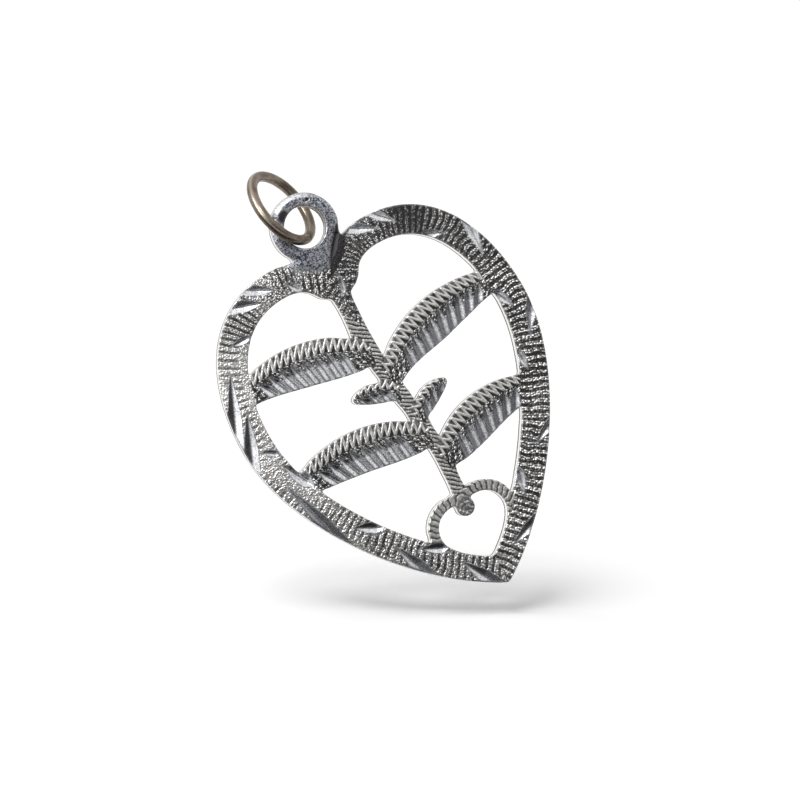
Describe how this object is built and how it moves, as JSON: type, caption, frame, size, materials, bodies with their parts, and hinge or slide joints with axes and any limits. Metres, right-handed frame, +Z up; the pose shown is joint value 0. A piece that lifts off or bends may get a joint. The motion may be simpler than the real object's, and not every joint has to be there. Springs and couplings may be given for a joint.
{
  "type": "heart pendant",
  "caption": "Open heart pendant: a pierced, chased silver sheet with a leafy sprig and a small open heart in its tip, hung by its eye on a round-wire jump ring.",
  "frame": {"origin": "the centre of the jump ring, where a chain passes", "axes": "+Z up as the pendant is worn, -Y out of the chased front, +X to the viewer's right"},
  "size_m": [0.0249, 0.0052, 0.0358],
  "materials": {
    "chased_silver": "silver, chased with stippled lines and bright cuts, darkened in the low places",
    "tarnished_wire": "drawn wire with a brown tarnish and soft highlights"
  },
  "bodies": {
    "ring": {"jump_ring": "tarnished_wire"},
    "heart": {"heart_plate": "chased_silver"}
  },
  "joints": [
    {"name": "ring_turn", "type": "hinge", "parent": "ring", "child": "heart", "pos_m": [0, 0, 0], "axis": [-0.7307, 0.6579, -0.1822], "continuous": true}
  ]
}
